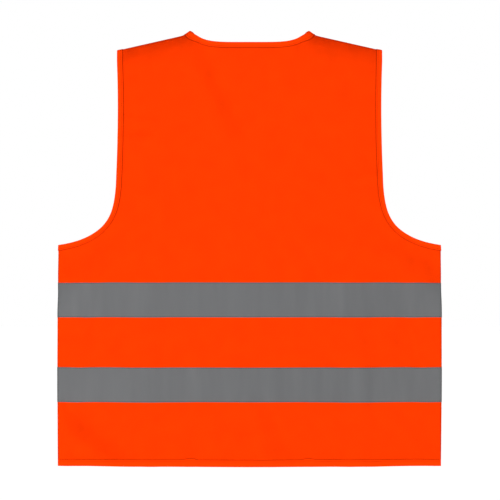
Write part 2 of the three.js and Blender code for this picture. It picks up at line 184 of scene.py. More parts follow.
def smooth_cloth(x, s):
    """Middle of the cloth before it wrinkles."""
    side = np.where(s < 0, 1.0, -1.0)
    length = np.abs(s)
    drop = drop_of_length(length)
    roll = SHOULDER_ROLL * np.sin(np.minimum(length, ROLL_LENGTH) / SHOULDER_ROLL)
    lean = np.where(s < 0, FRONT_LEAN, BACK_LEAN) * drop
    to_seam = np.abs(x) / HALF_CHEST
    standoff = SIDE_STANDOFF * to_seam**4 * np.minimum(length / STANDOFF_RUN, 1)
    depth = (roll + lean) * (1 - to_seam**2) + standoff
    return np.stack([x + 0 * s, side * depth, ridge_height(x) - drop], -1)


# ---- Outlines ----

def front_edge_at(length):
    """Distance of a front's finished edge from the middle, positive on its own side."""
    t = np.minimum(length / length_down_to(0.0, -V_DEPTH), 1)
    return NECK_POINT - (NECK_POINT + OVERLAP) * (1 - (1 - t) ** V_POWER)


def back_neckline(x, margin=0.0):
    """Length from the shoulder line down to the back neckline."""
    t = np.minimum(np.abs(x) / (NECK_POINT + margin), 1)
    return (BACK_NECK_DEPTH + margin) * np.sqrt(1 - t**BACK_NECK_POWER)


def hinge_at(z):
    """Distance of a front's fold line from the middle."""
    t = (HINGE_TOP_Z - z) / (HINGE_TOP_Z - HEM_Z)
    return HINGE_TOP + (HINGE_BOTTOM - HINGE_TOP) * t


def bezier(points, t):
    """A quadratic or cubic Bezier curve at the parameters t."""
    points = [np.array(p) for p in points]
    t = t[:, None]
    while len(points) > 1:
        points = [a * (1 - t) + b * t for a, b in zip(points, points[1:])]
    return points[0]


def armhole_edge():
    """Finished armhole on the pattern of the +X side, from the shoulder tip to the side seam, as (x, s)."""
    top = float(ridge_height(SHOULDER_TIP)) - SHOULDER_ROLL
    upper = bezier([(SHOULDER_TIP, top), (0.1865, -0.115), (0.1905, -0.205)], np.linspace(0, 1, 40))
    lower = bezier(
        [(0.1905, -0.205), (0.192, -0.255), (0.197, -0.293), (HALF_CHEST, ARMPIT_Z)], np.linspace(0, 1, 50)
    )
    hanging = np.concatenate([upper[1:], lower[1:]])
    roll = np.linspace(0, ROLL_LENGTH, 8)
    x = np.concatenate([np.full(len(roll), SHOULDER_TIP), hanging[:, 0]])
    s = np.concatenate([roll, length_down_to(hanging[:, 0], hanging[:, 1])])
    return np.stack([x, s], -1)


def lengths_along(points):
    """Distance along a line to each of its points."""
    return np.concatenate([[0], np.cumsum(np.linalg.norm(np.diff(points, axis=0), axis=1))])


def spaced(points, step):
    """The same line with points at even steps along it."""
    lengths = lengths_along(points)
    count = max(int(round(lengths[-1] / step)), 1)
    at = np.linspace(0, lengths[-1], count + 1)
    return np.stack([np.interp(at, lengths, points[:, i]) for i in range(points.shape[1])], -1)


def pattern_line(x, z, side, count):
    """A line on the pattern between two distances from the middle and two heights."""
    x, z = np.linspace(*x, count), np.linspace(*z, count)
    return np.stack([x, side * length_down_to(x, z)], -1)


def left_normals(points):
    """Unit normals on the pattern, to the left of the line's direction of travel."""
    along = np.gradient(points, axis=0)
    normals = np.stack([-along[:, 1], along[:, 0]], -1)
    return normals / np.linalg.norm(normals, axis=1, keepdims=True)


def offset_line(points, distance):
    """The line moved to its left by a distance."""
    return points + left_normals(points) * distance


ARMHOLE = armhole_edge()


def half_width_at(z):
    """Distance from the middle to the armhole, or to the side seam below it."""
    x, s = ARMHOLE.T
    return np.where(z < ARMPIT_Z, HALF_CHEST, np.interp(-z, -height_of(x, s), x))


# ---- Wrinkles ----

GRID = 0.010  # spacing of the cloth simulation's mesh
GRID_X = np.linspace(-HALF_CHEST, HALF_CHEST, 2 * round(HALF_CHEST / GRID) + 1)
GRID_S = np.arange(0, float(length_down_to(0.0, HEM_Z)) + GRID, GRID)
PANELS = {"back": 1, "left": -1, "right": -1}
SIMULATED = {name: np.zeros((len(GRID_S), len(GRID_X), 3)) for name in PANELS}

YOKE_HOLLOW = 0.007  # the cloth draws in below the shoulder line by up to this
YOKE_START = 0.02
YOKE_LENGTH = 0.035
HEM_CURVE_START = 0.52  # length down the cloth where the hem's rise begins
HEM_CURVE_RUN = 0.10
NECK_DIP_X = 0.080
NECK_DIP_WIDTH = 0.005
NECK_DIP_LENGTH = 0.015
NECK_DIP_START = 0.006
SEAM_RUN = 0.014  # beside a side seam, over which the folds die out
SEAM_ABOVE = 0.01  # they also die out this far above the armpit
SEAM_CLOSE = 0.0036  # beside a side seam, over which the back and the front come together
SEAM_FADE = 0.004  # at the edge of a binding or hem, over which the seam closes further
SEAM_PRESS = 0.0001  # how far the sewing presses each cloth into the other
HEM_PRESS = 0.0004  # the hems end a little short of the seam, so they draw in further

# Gathers that the sewing draws up: height, how far they reach from the seam, and pitch.
TAPE_GATHERS = (0.00022, 0.010, 0.014)
HEM_GATHERS = (0.00035, 0.012, 0.019)
ARM_GATHERS = (0.00040, 0.012, 0.020)
SIDE_GATHERS = (0.00045, 0.010, 0.022)
GATHERS_START = 0.03

# Soft folds that the hanging back shows: start and end as (x, z), half width, and height outwards.
BACK_FOLDS = [
    ((-0.088, -0.030), (-0.032, -0.150), 0.014, 0.0036),  # drag line below the left neck point
    ((-0.068, -0.022), (-0.016, -0.130), 0.012, -0.0028),
    ((0.088, -0.030), (0.050, -0.110), 0.013, 0.0018),
    ((-0.280, -0.560), (-0.208, -0.617), 0.015, 0.0050),  # the lower left corner
    ((-0.262, -0.536), (-0.190, -0.593), 0.015, -0.0046),
    ((0.008, -0.545), (0.026, -0.612), 0.011, 0.0028),  # lower middle
    ((0.030, -0.550), (0.056, -0.604), 0.012, -0.0024),
    ((-0.180, -0.128), (-0.150, -0.130), 0.008, 0.0020),  # ripples beside the left armhole
    ((-0.180, -0.152), (-0.152, -0.154), 0.008, 0.0018),
    ((0.150, -0.212), (0.182, -0.208), 0.008, 0.0014),
    ((0.205, -0.300), (0.262, -0.330), 0.013, -0.0030),  # hollows under the arms
    ((-0.262, -0.330), (-0.205, -0.300), 0.013, -0.0030),
]


def bump_line(x, z, start, end, half_width, height):
    """A soft ridge along a line, fading out at both ends."""
    start, end = np.array(start), np.array(end)
    along = end - start
    length = np.linalg.norm(along)
    along = along / length
    u = (x - start[0]) * along[0] + (z - start[1]) * along[1]
    v = -(x - start[0]) * along[1] + (z - start[1]) * along[0]
    beyond = np.maximum(np.maximum(-u, u - length), 0)
    return height * np.exp(-((v / half_width) ** 2) - (beyond / (2 * half_width)) ** 2)


def waves(u, pitch, seed):
    """An uneven wave of about that pitch along u, between about -1 and 1."""
    own = np.random.default_rng(seed)
    total = 0.0
    for _ in range(5):
        length = pitch * own.uniform(0.7, 1.6)
        total = total + np.sin(2 * math.pi * (u / length + own.uniform(0, 1)))
    return total / 3


def gathers(kind, distance, along, seed):
    """Fine waves beside a seam, which fade with the distance from it."""
    height, reach, pitch = kind
    return height * np.exp(-distance / reach) * waves(along, pitch, seed)


def puckers(x, s, panel):
    """Small gathers beside each seam. They slant a little, and each panel has its own."""
    z = height_of(x, s)
    seed = list(PANELS).index(panel) * 20
    total = 0.0
    for i, levels in enumerate(TAPE_LEVELS):
        for j, level in enumerate(levels):
            total = total + gathers(TAPE_GATHERS, np.abs(z - level), x + 0.2 * z, seed + 3 * i + j)
    total = total + gathers(HEM_GATHERS, np.abs(z - HEM_Z - HEM_WIDTH), x + 0.3 * z, seed + 9)
    to_arm = np.abs(half_width_at(z) - np.abs(x))
    arm = gathers(ARM_GATHERS, to_arm, z + 0.2 * np.abs(x), seed + 11)
    side = gathers(SIDE_GATHERS, HALF_CHEST - np.abs(x), z + 0.2 * x, seed + 12)
    total = total + arm * (z > ARMPIT_Z) + side * (z < ARMPIT_Z)
    return total * np.minimum(np.abs(s) / GATHERS_START, 1)


def spline_weights(f):
    """Shares of four neighbouring grid points in a smooth curve, at a fraction f between the middle two."""
    return [
        (1 - f) ** 3 / 6,
        (3 * f**3 - 6 * f**2 + 4) / 6,
        (-3 * f**3 + 3 * f**2 + 3 * f + 1) / 6,
        f**3 / 6,
    ]


def simulated(x, s, panel):
    """The cloth simulation's displacement at pattern points, smoothly between its mesh points."""
    field = SIMULATED[panel]
    u = np.clip(np.abs(s) / GRID, 0, len(GRID_S) - 1.001)
    v = np.clip((x + HALF_CHEST) / (GRID_X[1] - GRID_X[0]), 0, len(GRID_X) - 1.001)
    i, j = np.floor(u).astype(int), np.floor(v).astype(int)
    down, across = spline_weights(u - i), spline_weights(v - j)
    total = 0.0
    for a in range(4):
        row = np.clip(i + a - 1, 0, len(GRID_S) - 1)
        for b in range(4):
            column = np.clip(j + b - 1, 0, len(GRID_X) - 1)
            total = total + (down[a] * across[b])[..., None] * field[row, column]
    return total


def left_lift(x, s):
    """How far the left front stands over the right one."""
    start = -hinge_at(height_of(x, s)) + LIFT_MARGIN
    return OVERLAP_LIFT * smoothstep((x - start) / (-LIFT_END - start))


def seam_closing(x, z):
    """How far the cloth draws in next to a side seam, so that the back and the front meet there."""
    bound = SIDE_STANDOFF - CLOTH_FACE - BINDING + SEAM_PRESS
    below_binding = smoothstep((ARMPIT_Z - BINDING_WIDTH - z) / SEAM_FADE + 0.5)
    above_hem = smoothstep((z - HEM_Z - HEM_WIDTH) / SEAM_FADE + 0.5)
    below_armpit = smoothstep((ARMPIT_Z + 3 * SEAM_FADE - z) / SEAM_FADE)
    amount = (bound + BINDING * below_binding * above_hem + HEM_PRESS * (1 - above_hem)) * below_armpit
    return amount * np.maximum(np.abs(x) - HALF_CHEST + SEAM_CLOSE, 0) / SEAM_CLOSE


def outward_shift(x, s, panel):
    """How far the wrinkles, folds and overlap move the cloth outwards."""
    z = height_of(x, s)
    length = np.abs(s)
    total = puckers(x, s, panel)
    total = total - YOKE_HOLLOW * smoothstep(length / YOKE_START) * np.exp(-length / YOKE_LENGTH)
    if panel == "back":
        for fold in BACK_FOLDS:
            total = total + bump_line(x, z, *fold)
    beside_seam = smoothstep((np.abs(x) - HALF_CHEST + SEAM_RUN) / SEAM_RUN) * (z < ARMPIT_Z + SEAM_ABOVE)
    total = total * (1 - beside_seam)
    total = total - seam_closing(x, z)
    if panel == "left":
        total = total + left_lift(x, s)
    return total


def rise(x, s):
    """The hem curves up a little towards the side seams, and the fronts dip beside the neck points."""
    reach = smoothstep((np.abs(s) - HEM_CURVE_START) / HEM_CURVE_RUN)
    hem = HEM_LIFT + HEM_CORNER_RISE * (np.abs(x) / HALF_CHEST) ** 4
    from_dip = ((np.abs(x) - NECK_DIP_X) / NECK_DIP_WIDTH) ** 2
    beside_neck = np.exp(-from_dip - (s / NECK_DIP_LENGTH) ** 2)
    return hem * reach - NECK_DIP * beside_neck * smoothstep(-s / NECK_DIP_START)


def panel_middle(x, s, panel):
    """Middle of one panel's cloth as it hangs."""
    point = smooth_cloth(x, s) + simulated(x, s, panel)
    side = 1.0 if PANELS[panel] < 0 else -1.0
    point[..., 1] += side * outward_shift(x, s, panel)
    point[..., 2] += rise(x, s)
    return point


def middle(x, s, front):
    """Middle of the cloth. front says which front the points with negative s belong to."""
    back = panel_middle(x, s, "back")
    if front is None:
        return back
    return np.where((s < 0)[..., None], panel_middle(x, s, front), back)


def place(x, s, out, front=None):
    """Points at a distance out from the cloth's middle, along its own normal."""
    x, s, out = np.broadcast_arrays(np.asarray(x, float), np.asarray(s, float), np.asarray(out, float))
    h = NORMAL_STEP
    across = middle(x + h, s, front) - middle(x - h, s, front)
    along = middle(x, s + h, front) - middle(x, s - h, front)
    normal = np.cross(along, across)
    normal /= np.linalg.norm(normal, axis=-1, keepdims=True)
    return middle(x, s, front) + normal * out[..., None]


# ---- Cloth simulation of the whole vest ----

SIM_FRAMES = 26
SIM_EASE = 0.016  # spare cloth between the seams, as a share of its width
SIM_HOLD = 0.06  # how firmly the cloth keeps the shape it hangs in, away from the shoulders
SIM_HUNG_Z = -0.05  # the cloth above this height hangs from the shoulders
SIM_HUNG_RUN = 0.03
SIM_TAPE_MARGIN = 0.003  # beyond a tape's edges, over which the sewing stiffens the cloth
SIM_SEAM = 0.004  # beside a side seam, over which it does the same
SIM_LIMIT = 0.006  # the furthest that the cloth may move
SIM_SHARE = {"back": 0.4, "left": 0.8, "right": 0.8}
SIM_SEAM_RUN = 0.05  # beside a side seam, over which every panel takes on the back's share
SIM_KEPT = (0.15, 1.0, 0.15)  # the share of each direction that is kept: mostly depth


def panel_mask(panel):
    """Which points of the simulation's grid lie on a panel."""
    x, s = np.meshgrid(GRID_X, GRID_S)
    z = height_of(x, s)
    inside = np.abs(x) <= half_width_at(z) + 1e-4
    if panel == "back":
        return inside & (s >= back_neckline(x) * (np.abs(x) < NECK_POINT))
    own = x if panel == "right" else -x
    return inside & (own >= front_edge_at(s) - 0.5 * GRID)


def simulate():
    """Sews the three panels into one mesh, gives them spare cloth, and lets them hang from the shoulders."""
    index, rest, faces = {}, [], []
    owner = {}
    for panel, side in PANELS.items():
        mask = panel_mask(panel)
        x, s = np.meshgrid(GRID_X, GRID_S)
        points = smooth_cloth(x, side * np.maximum(s, 1e-9))
        seam = np.abs(x) > HALF_CHEST - 1e-6
        points[..., 1] = np.where(seam, 0, points[..., 1])
        if panel == "left":
            points[..., 1] += left_lift(x, -s)
        ids = np.full(mask.shape, -1)
        for i, j in zip(*np.nonzero(mask)):
            key = (round(points[i, j, 0], 5), round(points[i, j, 1], 5), round(points[i, j, 2], 5))
            if key not in index:
                index[key] = len(rest)
                rest.append(points[i, j])
            ids[i, j] = index[key]
        whole = mask[:-1, :-1] & mask[1:, :-1] & mask[:-1, 1:] & mask[1:, 1:]
        corners = (ids[:-1, :-1], ids[1:, :-1], ids[1:, 1:], ids[:-1, 1:])
        faces += quads(*(corner[whole] for corner in corners))
        owner[panel] = ids
    rest = np.array(rest)
    mesh = bpy.data.meshes.new("drape")
    mesh.from_pydata(rest.tolist(), [], faces)
    mesh.validate()
    drape = bpy.data.objects.new("drape", mesh)
    bpy.context.scene.collection.objects.link(drape)

    z = rest[:, 2]
    margin = SIM_TAPE_MARGIN
    hang = np.clip((z - SIM_HUNG_Z) / SIM_HUNG_RUN, SIM_HOLD, 1)
    on_tape = sum(((z > low - margin) & (z < high + margin)).astype(float) for low, high in TAPE_LEVELS)
    on_hem = (z < HEM_Z + HEM_WIDTH).astype(float)
    sewn = np.clip(on_tape + on_hem + (np.abs(rest[:, 0]) > HALF_CHEST - SIM_SEAM), 0, 1)
    for name, weights in (("hold", hang), ("sewn", sewn)):
        group = drape.vertex_groups.new(name=name)
        for i, weight in enumerate(weights):
            group.add([i], float(weight), "REPLACE")

    modifier = drape.modifiers.new("Cloth", "CLOTH")
    settings = modifier.settings
    settings.quality = 6
    settings.mass = 0.15
    settings.air_damping = 3
    settings.tension_stiffness = 12
    settings.compression_stiffness = 12
    settings.shear_stiffness = 4
    settings.bending_stiffness = 0.15
    settings.bending_stiffness_max = 4
    settings.vertex_group_bending = "sewn"
    settings.vertex_group_mass = "hold"
    settings.pin_stiffness = 1
    settings.shrink_min = -SIM_EASE
    settings.shrink_max = -0.1 * SIM_EASE
    settings.vertex_group_shrink = "sewn"
    modifier.collision_settings.use_collision = False
    modifier.point_cache.frame_end = SIM_FRAMES
    scene = bpy.context.scene
    for step in range(1, SIM_FRAMES + 1):
        scene.frame_set(step)
    shaped = drape.evaluated_get(bpy.context.evaluated_depsgraph_get()).data
    now = np.zeros(len(rest) * 3)
    shaped.vertices.foreach_get("co", now)
    moved = (now.reshape(-1, 3) - rest) * SIM_KEPT
    scene.frame_set(1)
    bpy.data.objects.remove(drape)

    size = np.linalg.norm(moved, axis=1, keepdims=True)
    moved *= SIM_LIMIT * np.tanh(size / SIM_LIMIT) / np.maximum(size, 1e-9)
    inside = smoothstep((HALF_CHEST - np.abs(GRID_X)) / SIM_SEAM_RUN)[None, :, None]
    for panel, ids in owner.items():
        share = SIM_SHARE["back"] + (SIM_SHARE[panel] - SIM_SHARE["back"]) * inside
        SIMULATED[panel][:] = filled(np.where((ids >= 0)[..., None], moved[ids], np.nan)) * share


def filled(field):
    """The field with its empty points filled from their nearest neighbours."""
    field = field.copy()
    while np.isnan(field).any():
        near = np.stack([np.roll(field, shift, axis) for axis in (0, 1) for shift in (1, -1)])
        known = ~np.isnan(near)
        total = np.where(known, near, 0).sum(0) / np.maximum(known.sum(0), 1)
        empty = np.isnan(field) & known.any(0)
        field = np.where(empty, total, field)
    return field


simulate()


# ---- Meshes ----

SHARP_ANGLE = 55


def new_object(name, points, faces, pattern=None):
    """A smooth-shaded mesh whose faces point outwards. pattern keeps where each point lies on the cloth."""
    points = np.asarray(points, float)
    corners = np.array([f[:3] for f in faces])
    a, b, c = (points[corners[:, i]] for i in range(3))
    if np.einsum("ij,ij->i", np.cross(a, b), c).sum() < 0:
        faces = [tuple(reversed(f)) for f in faces]
    mesh = bpy.data.meshes.new(name)
    mesh.from_pydata(points.tolist(), [], faces)
    mesh.polygons.foreach_set("use_smooth", np.ones(len(mesh.polygons), bool))
    mesh.set_sharp_from_angle(angle=math.radians(SHARP_ANGLE))
    if pattern is not None:
        attribute = mesh.attributes.new("cloth", "FLOAT_VECTOR", "POINT")
        attribute.data.foreach_set("vector", np.asarray(pattern, np.float32).ravel())
    made = bpy.data.objects.new(name, mesh)
    bpy.context.scene.collection.objects.link(made)
    return made


def slab_faces(rows, columns):
    """Quads of a closed slab: rows by columns points on the outside, then as many on the inside."""
    outer = np.arange(rows * columns).reshape(rows, columns)
    inner = outer + rows * columns
    return (
        quads(outer[:-1, :-1], outer[1:, :-1], outer[1:, 1:], outer[:-1, 1:])
        + quads(inner[:-1, :-1], inner[:-1, 1:], inner[1:, 1:], inner[1:, :-1])
        + quads(outer[:-1, 0], inner[:-1, 0], inner[1:, 0], outer[1:, 0])
        + quads(outer[:-1, -1], outer[1:, -1], inner[1:, -1], inner[:-1, -1])
        + quads(outer[0, :-1], outer[0, 1:], inner[0, 1:], inner[0, :-1])
        + quads(outer[-1, :-1], inner[-1, :-1], inner[-1, 1:], outer[-1, 1:])
    )


def declare_sheet(rests_on=(), with_pieces=()):
    """Does nothing with the sheets that a sheet rests on or the pieces that go with it."""
    rests_on, with_pieces = list(rests_on), list(with_pieces)


def sheet_mesh(name, x, s, inner, outer, front=None):
    """A closed sheet over a grid of pattern points, between two distances out."""
    rows, columns = x.shape
    points = np.concatenate([place(x, s, out, front).reshape(-1, 3) for out in (outer, inner)])
    flat = np.stack([x, s, 0 * x], -1).reshape(-1, 3)
    return new_object(name, points, slab_faces(rows, columns), np.concatenate([flat, flat + (0, 0, 1)]))


def level_grid(left, right, top, bottom, side, step=STEP):
    """Pattern points between two distances from the middle and two heights."""
    rows = max(int(round((top - bottom) / step)), 2) + 1
    columns = max(int(round((right - left) / step)), 2) + 1
    x, z = np.meshgrid(left + (right - left) * np.linspace(0, 1, columns), np.linspace(top, bottom, rows))
    return x, side * length_down_to(x, z)


# Half of a binding's section, from its raw edge to near the fold: distance in as a share of its width, and
# height as a share of the height of its face. The row of stitches sinks into the dip.
BINDING_OUTLINE = (
    (1.0, 0.70), (0.985, 0.92), (0.90, 1.02), (0.78, 1.0),
    (0.72, 0.72), (0.66, 1.02), (0.45, 1.24), (0.2, 1.20),
)
BINDING_FOLD = 0.0010  # radius of the fold
BINDING_FOLD_HEIGHT = 1.12
BINDING_LINING = 0.0006  # from the edge to the inside of the fold
BINDING_TURN = 0.0092  # distance round the section from the outer raw edge to the fold
BINDING_RIPPLES = ((0.10, 0.012), (0.05, 0.005))  # share of the height, and pitch along the edge


def binding_section():
    """Outer and inner section of a folded binding: distances in from the edge and out from the cloth."""
    face = CLOTH_FACE + BINDING
    legs = [(d * BINDING_WIDTH, h * face) for d, h in BINDING_OUTLINE]
    turn = [
        (BINDING_FOLD * (1 - math.sin(a)), BINDING_FOLD_HEIGHT * face * math.cos(a))
        for a in np.linspace(0, math.pi, 9)
    ]
    outer = np.array(legs + turn + [(d, -h) for d, h in reversed(legs)])
    lining = np.sign(outer[:, 1]) * (CLOTH_FACE + TOUCH)
    lining[len(lining) // 2] = 0
    return outer, np.stack([np.maximum(outer[:, 0], BINDING_LINING), lining], -1)


def folded_binding(name, edge, width, front, seed):
    """Binding folded over an edge of the cloth, which lies to the left of the edge's direction of travel."""
    edge = spaced(edge, STEP)
    lengths = np.arange(len(edge)) * STEP
    normals = left_normals(edge)
    ripple = 1.0
    for k, (share, pitch) in enumerate(BINDING_RIPPLES):
        ripple = ripple + share * waves(lengths, pitch, seed + k)
    outer, inner = binding_section()
    points, pattern = [], []
    for section, swell in ((outer, ripple), (inner, np.ones(len(edge)))):
        d = section[:, 0] * width / BINDING_WIDTH
        x = edge[:, :1] + normals[:, :1] * d
        s = edge[:, 1:] + normals[:, 1:] * d
        points.append(place(x, s, section[:, 1] * swell[:, None], front).reshape(-1, 3))
        length, around = np.meshgrid(lengths, lengths_along(section), indexing="ij")
        pattern.append(np.stack([length, around, 0 * x], -1).reshape(-1, 3))
    faces = slab_faces(len(edge), len(outer))
    return new_object(name, np.concatenate(points), faces, np.concatenate(pattern))


THREAD_SIDES = 6
THREAD_TAPER = np.array([0.35, 0.85, 1.0, 1.0, 0.85, 0.35])  # radius along a stitch, as a share
THREAD_SINK = 0.9  # how deep the ends of a stitch go into the cloth, in radii
THREAD_ARCH = 1.5  # how far its middle rises above them
STITCH_VARIES = (0.93, 1.05)  # the shortest and the longest stitch, as shares of the usual length
STITCH_UNEVEN = 0.00002  # how much the height of the stitches varies


def stitch_row(name, line, out, front=None, side=1, pitch=STITCH_PITCH, thread=THREAD):
    """A row of separate stitches along a line on the pattern, on the cloth's outside or inside."""
    line = spaced(line, NORMAL_STEP)
    lengths = lengths_along(line)
    count = max(int(lengths[-1] / pitch), 1)
    own = np.random.default_rng(len(name) * 13 + count)
    centres = (np.arange(count) + 0.5) * lengths[-1] / count
    steps = np.linspace(-0.5, 0.5, len(THREAD_TAPER))
    stitch = pitch * STITCH / STITCH_PITCH
    at = centres[:, None] + steps * stitch * own.uniform(*STITCH_VARIES, (count, 1))
    x, s = (np.interp(at, lengths, line[:, i]) for i in range(2))
    arch = thread * (THREAD_ARCH * np.cos(steps * math.pi) ** 0.6 - THREAD_SINK)
    lifted = side * (out + arch) + own.normal(0, STITCH_UNEVEN, (count, 1))
    centre = place(x, s, lifted, front)
    normal = place(x, s, lifted + thread, front) - centre
    normal /= np.linalg.norm(normal, axis=-1, keepdims=True)
    tangent = np.gradient(centre, axis=1)
    tangent /= np.linalg.norm(tangent, axis=-1, keepdims=True)
    across = np.cross(normal, tangent)
    radius = thread * THREAD_TAPER[:, None]
    angles = np.arange(THREAD_SIDES) * 2 * math.pi / THREAD_SIDES
    ring = [centre + radius * (math.cos(a) * normal + math.sin(a) * across) for a in angles]
    index = np.arange(count * len(steps) * THREAD_SIDES).reshape(count, len(steps), THREAD_SIDES)
    beside = np.roll(index, -1, axis=2)
    faces = quads(index[:, :-1], beside[:, :-1], beside[:, 1:], index[:, 1:])
    ends = index[:, 0, ::-1].tolist() + index[:, -1].tolist()
    return new_object(name, np.stack(ring, 2).reshape(-1, 3), faces + ends)


# ---- Materials ----

class Nodes:
    """A node tree and the few kinds of node that the materials are made of."""

    def __init__(self, tree):
        self.tree = tree

    def add(self, kind, **inputs):
        node = self.tree.nodes.new(kind)
        for name, source in inputs.items():
            self.tree.links.new(source, node.inputs[name])
        return node

    def math(self, operation, a, b=None):
        """A sum on numbers or sockets."""
        node = self.add("ShaderNodeMath")
        node.operation = operation
        for socket, value in zip(node.inputs, (a, b)):
            if isinstance(value, (int, float)):
                socket.default_value = value
            elif value is not None:
                self.tree.links.new(value, socket)
        return node.outputs[0]

    def ribs(self, value, pitch):
        """A wave between 0 and 1 with that pitch, in metres."""
        wave = self.math("SINE", self.math("MULTIPLY", value, 2 * math.pi / pitch))
        return self.math("MULTIPLY_ADD", wave, 0.5)

    def noise(self, vector, scale, stretch=(1, 1, 1), detail=3):
        mapping = self.add("ShaderNodeMapping", Vector=vector)
        set_inputs(mapping, {"Scale": stretch})
        node = self.add("ShaderNodeTexNoise", Vector=mapping.outputs["Vector"])
        set_inputs(node, {"Scale": scale, "Detail": detail})
        return node.outputs["Fac"]

    def fade(self, value, start, end, low, high):
        """A smooth change from low to high while the value goes from start to end."""
        node = self.add("ShaderNodeMapRange", Value=value)
        node.interpolation_type = "SMOOTHSTEP"
        set_inputs(node, {"From Min": start, "From Max": end, "To Min": low, "To Max": high})
        return node.outputs[0]

    def ramp(self, fac, low, high, dark, light):
        node = self.add("ShaderNodeValToRGB", Fac=fac)
        for element, position, colour in zip(node.color_ramp.elements, (low, high), (dark, light)):
            element.position = position
            element.color = (*colour, 1)
        return node

    def surface(self, shader, ramp, height, distance, strength=1.0):
        """Gives a shader its colour and the bumps of that height, in metres."""
        bump = self.add("ShaderNodeBump", Height=height)
        set_inputs(bump, {"Strength": strength, "Distance": distance})
        self.tree.links.new(bump.outputs["Normal"], shader.inputs["Normal"])
        self.tree.links.new(ramp.outputs["Color"], shader.inputs["Base Color"])


def set_inputs(node, values):
    for name, value in values.items():
        node.inputs[name].default_value = value


def new_material(name):
    """A material, its nodes, its shader, and where a point lies on the flat cloth, in metres."""
    material = bpy.data.materials.new(name)
    material.use_nodes = True
    nodes = Nodes(material.node_tree)
    where = nodes.add("ShaderNodeAttribute")
    where.attribute_name = "cloth"
    return material, nodes, material.node_tree.nodes["Principled BSDF"], where.outputs["Vector"]


LOOP_LEAN = 0.6  # how far a knitted loop slants, as a share of a course
SHADE = 0.45  # the darkest colour, as a share of the dark colour: reached in the lowest tones of the yarn, and where the painted shade is deepest


def woven(name, dark, light, glow, pitch, depth, roughness=0.85, sheen=0.15, diagonal=False, painted_shades=()):
    """A dyed textile: ribs and courses of yarn, uneven dye, and a painted glow standing in for the
    fluorescence of its colour.
    Each painted shade darkens the colour near a line across the cloth: a coordinate, where it lies, how far
    it reaches and how deep it is."""
    material, nodes, shader, where = new_material(name)
    split = nodes.add("ShaderNodeSeparateXYZ", Vector=where)
    x, s = split.outputs[0], split.outputs[1]
    if diagonal:
        x, s = nodes.math("ADD", x, s), nodes.math("SUBTRACT", x, s)
    wales = nodes.ribs(x, pitch[0])
    # The loops of a course rise and fall across each wale, like a row of arrow heads.
    lean = nodes.math("MULTIPLY", wales, LOOP_LEAN * pitch[1])
    courses = nodes.ribs(nodes.math("ADD", s, lean), pitch[1])
    yarn = nodes.math("MULTIPLY", nodes.math("ADD", wales, courses), 0.5)
    rough = nodes.math("MULTIPLY", nodes.noise(where, 900, detail=2), 0.5)
    dye = nodes.math("MULTIPLY", nodes.noise(where, 40, detail=5), 0.35)
    tone = nodes.math("ADD", nodes.math("MULTIPLY", yarn, 0.75), dye)
    # Painted shade: the tone darkens near each given line of the cloth.
    for socket, near, reach, depth_of_shade in painted_shades:
        away = nodes.math("ABSOLUTE", nodes.math("SUBTRACT", split.outputs[socket], near))
        tone = nodes.math("SUBTRACT", tone, nodes.fade(away, 0.0, reach, depth_of_shade, 0.0))
    ramp = nodes.ramp(tone, 0.34, 0.80, dark, light)
    ramp.color_ramp.elements.new(0.0).color = (*(SHADE * c for c in dark), 1)
    set_inputs(shader, {
        "Roughness": roughness, "Specular IOR Level": 0.01,
        "Sheen Weight": sheen, "Sheen Roughness": 0.5, "Sheen Tint": (*light, 1),
    })
    # Painted light: a constant emission standing in for the dye's fluorescence, which the real cloth shows
    # only under light.
    if glow:
        set_inputs(shader, {"Emission Color": (*glow, 1), "Emission Strength": 1.0})
    nodes.surface(shader, ramp, nodes.math("ADD", yarn, rough), depth)
    return material


def reflective_material():
    """Grey retroreflective tape: a satin skin of glass beads, with faint streaks down the tape."""
    material, nodes, shader, where = new_material("reflective_tape")
    beads = nodes.noise(where, 2600, detail=1)
    streaks = nodes.noise(where, 55, (1, 0.12, 1))
    tone = nodes.math("ADD", nodes.math("MULTIPLY", beads, 0.25), streaks)
    ramp = nodes.ramp(tone, 0.25, 1.0, (0.116, 0.1185, 0.1225), (0.138, 0.141, 0.145))
    set_inputs(shader, {"Metallic": 0.0, "Roughness": 0.5, "Specular IOR Level": 0.12})
    nodes.surface(shader, ramp, beads, 0.00006)
    return material


def pile_material(name, colour, scale, depth):
    """The fuzzy or hooked face of a touch fastener."""
    material, nodes, shader, where = new_material(name)
    cells = nodes.add("ShaderNodeTexVoronoi", Vector=where)
    set_inputs(cells, {"Scale": scale})
    ramp = nodes.ramp(cells.outputs["Distance"], 0.05, 0.6, colour, tuple(c * 0.6 for c in colour))
    set_inputs(shader, {
        "Roughness": 0.9, "Specular IOR Level": 0.05, "Sheen Weight": 0.2, "Sheen Tint": (*colour, 1)
    })
    nodes.surface(shader, ramp, cells.outputs["Distance"], depth, 0.8)
    return material


def thread_material(name, dark, light, sheen=0.2):
    return woven(name, dark, light, None, (0.0004, 0.0004), 0.00005, 0.6, sheen)


ORANGE = (1.0, 0.048, 0.0002)
ORANGE_DARK = (0.76, 0.033, 0.0002)
PALE_ORANGE = (1.0, 0.050, 0.0006)
PALE_ORANGE_DARK = (0.97, 0.043, 0.0004)
OFF_WHITE = (0.88, 0.88, 0.86)
OFF_WHITE_DARK = (0.80, 0.80, 0.78)

